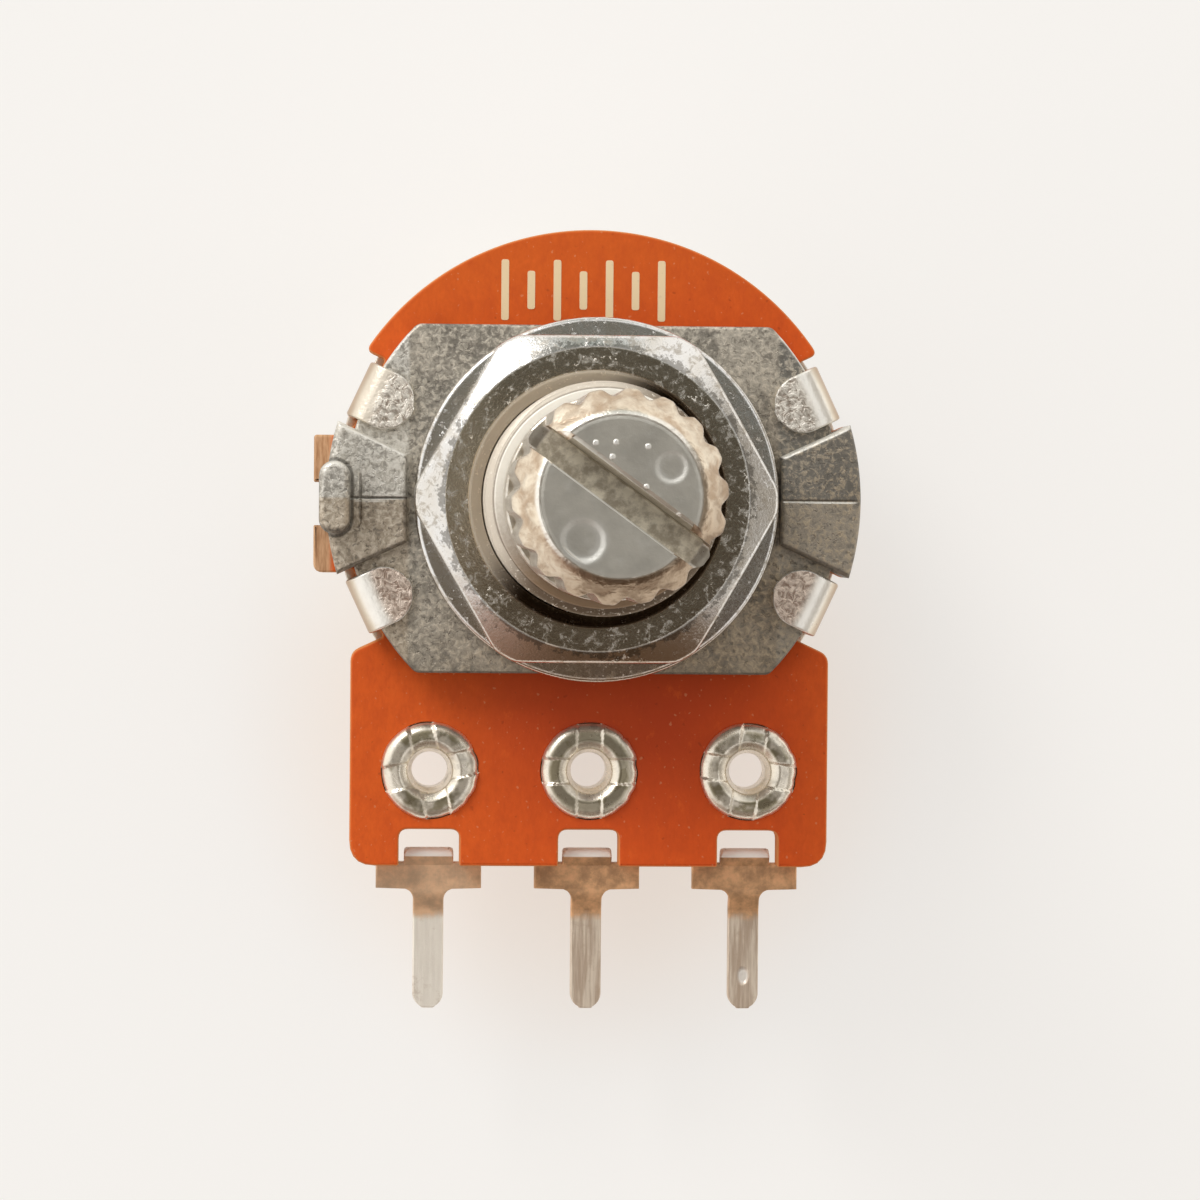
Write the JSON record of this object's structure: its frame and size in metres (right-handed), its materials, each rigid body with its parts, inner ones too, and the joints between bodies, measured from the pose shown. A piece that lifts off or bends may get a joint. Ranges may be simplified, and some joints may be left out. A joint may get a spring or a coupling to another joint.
{
  "type": "single-gang potentiometer",
  "caption": "Single-gang rotary potentiometer with a threaded bushing, nut and washer, a knurled slotted shaft, and flat solder pins in line on a phenolic board.",
  "frame": {"origin": "on the shaft's axis, in the plane of the ears' tops, where the panel seats", "axes": "+Z out along the shaft, -Y towards the solder pins, the anti-rotation lug at -X"},
  "size_m": [0.0171, 0.0245, 0.024],
  "materials": {
    "zinc": "grey die-cast zinc, matt and finely pitted",
    "washer_steel": "bright nickel-plated steel",
    "nut_steel": "bright nickel-plated steel",
    "shaft_aluminium": "turned aluminium with a knurled head",
    "spring_steel": "plain spring steel",
    "phenolic": "reddish-orange phenolic paper laminate, satin",
    "carbon_ink": "matt carbon ink",
    "silver_ink": "matt silver ink",
    "terminal_tin": "tinned sheet, satin, slightly tarnished",
    "eyelet_tin": "bright tinned eyelet",
    "rotor_resin": "black moulded resin",
    "bronze": "phosphor bronze strip",
    "cover_tinplate": "drawn tinplate, satin, slightly warm"
  },
  "bodies": {
    "housing": {"bushing_plate": "zinc", "wafer": "phenolic", "carbon_track": "carbon_ink", "silver_tracks": "silver_ink", "terminal_left": "terminal_tin", "terminal_centre": "terminal_tin", "terminal_right": "terminal_tin", "eyelet_left": "eyelet_tin", "eyelet_centre": "eyelet_tin", "eyelet_right": "eyelet_tin", "rear_cover": "cover_tinplate"},
    "spindle": {"shaft": "shaft_aluminium", "retaining_ring": "spring_steel", "rotor": "rotor_resin", "wiper_spring": "bronze"},
    "washer_body": {"washer": "washer_steel"},
    "nut_body": {"hex_nut": "nut_steel"}
  },
  "joints": [
    {"name": "shaft_turn", "type": "hinge", "parent": "housing", "child": "spindle", "pos_m": [0, 0, 0], "axis": [0, 0, 1], "range_deg": [-150, 150]},
    {"name": "washer_lift", "type": "slide", "parent": "housing", "child": "washer_body", "axis": [0, 0, 1], "range_m": [0, 0.00356]},
    {"name": "nut_turn", "type": "hinge", "parent": "washer_body", "child": "nut_body", "pos_m": [0, 0, 0], "axis": [0, 0, 1], "range_deg": [0, 1710]}
  ],
  "couplings": [
    {"joint": "nut_turn", "follows": "washer_lift", "rad_per_m": 8377.6}
  ]
}
